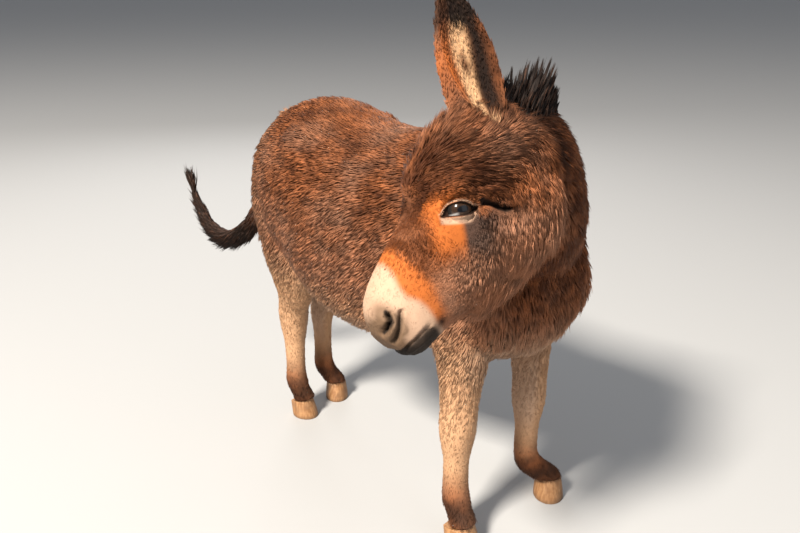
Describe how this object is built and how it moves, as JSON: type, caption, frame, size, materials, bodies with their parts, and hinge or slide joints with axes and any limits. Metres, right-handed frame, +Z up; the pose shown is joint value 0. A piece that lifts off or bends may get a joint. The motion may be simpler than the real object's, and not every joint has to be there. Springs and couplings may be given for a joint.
{
  "type": "donkey",
  "caption": "Life-size still model of a brown miniature donkey, standing square with its head turned to its right, long ears up and its tail swung out.",
  "frame": {"origin": "middle of the whole model's box on plan, at floor level under the soles of the hooves", "axes": "+Z up, -Y the way the donkey's body faces, +X towards the donkey's left side"},
  "size_m": [0.6984, 1.346, 1.1479],
  "materials": {
    "brown_coat": "thick soft winter coat, chocolate brown, paler on muzzle, belly and legs",
    "dark_hair": "coarse upright mane and tail hair, nearly black",
    "hoof_horn": "dull tan horn",
    "dark_eye": "wet dark brown"
  },
  "bodies": {
    "root": {"ear_left": "brown_coat", "ear_right": "brown_coat", "eye_left": "dark_eye", "eye_right": "dark_eye", "forehoof_left": "hoof_horn", "forehoof_right": "hoof_horn", "foreleg_left": "brown_coat", "foreleg_right": "brown_coat", "head": "brown_coat", "hindhoof_left": "hoof_horn", "hindhoof_right": "hoof_horn", "hindleg_left": "brown_coat", "hindleg_right": "brown_coat", "mane": "dark_hair", "neck": "brown_coat", "tail_dock": "brown_coat", "tail_switch": "dark_hair", "trunk": "brown_coat"}
  },
  "joints": []
}
